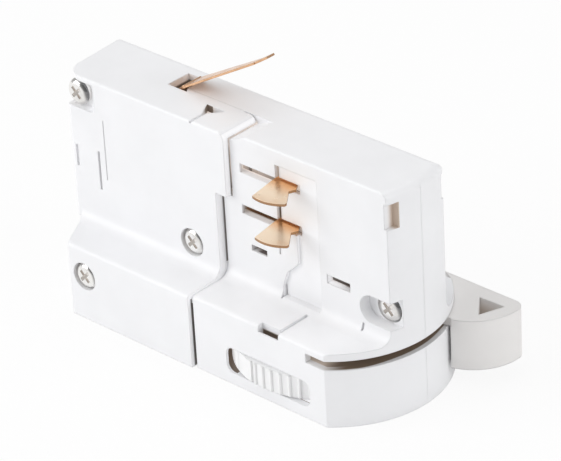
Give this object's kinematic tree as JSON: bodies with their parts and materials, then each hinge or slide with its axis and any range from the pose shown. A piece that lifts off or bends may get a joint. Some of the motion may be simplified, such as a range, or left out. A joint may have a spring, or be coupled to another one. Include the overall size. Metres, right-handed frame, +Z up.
{
  "type": "track light adapter",
  "caption": "White moulded track light adapter with a locking lever, swing-out copper contact plates on a drum turned by a ribbed wheel, and a sprung earth blade on top.",
  "frame": {"origin": "on the axis of the lever and the round end, at the bottom face", "axes": "+X along the body towards the round end with the lever, contacts on the -Y side, +Z up towards the face that enters the track"},
  "size_m": [0.1051, 0.0459, 0.0703],
  "materials": {
    "housing": "fine satin moulding",
    "lever": "fine satin moulding",
    "wheel": "fine satin moulding",
    "drum": "fine satin moulding",
    "copper": "polished copper",
    "brass": "plain brass",
    "steel": "nickel plated",
    "block": "plain moulding"
  },
  "bodies": {
    "housing": {"left_front_cover": "housing", "left_rear_cover": "housing", "right_front_housing": "housing", "right_rear_housing": "housing", "housing_screws": "steel", "earth_foot": "copper", "earth_rivet": "brass", "terminal_block": "block", "terminal_clamps": "brass", "terminal_screws": "steel", "phase_busbar": "copper", "neutral_busbar": "copper", "stem_nut": "steel", "detent_spring": "steel"},
    "locking_lever": {"lever": "lever", "locking_cam": "steel"},
    "selector": {"selector_wheel": "wheel", "selector_shaft": "steel", "shaft_clip": "steel", "contact_drum": "drum", "phase_contact": "copper", "neutral_contact": "copper"},
    "earth_blade": {"earth_spring": "copper"}
  },
  "joints": [
    {"name": "lever_swing", "type": "hinge", "parent": "housing", "child": "locking_lever", "pos_m": [0, 0, 0.015], "axis": [0, 0, 1], "range_deg": [-66, 0]},
    {"name": "selector_turn", "type": "hinge", "parent": "housing", "child": "selector", "pos_m": [-0.0026, 0, 0.006], "axis": [0, 0, 1], "range_deg": [-75, 0]},
    {"name": "earth_flex", "type": "hinge", "parent": "housing", "child": "earth_blade", "pos_m": [-0.0428, 0.002, 0.05565], "axis": [0, 1, 0], "range_deg": [0, 24], "stiffness_Nm_per_rad": 0.16}
  ]
}
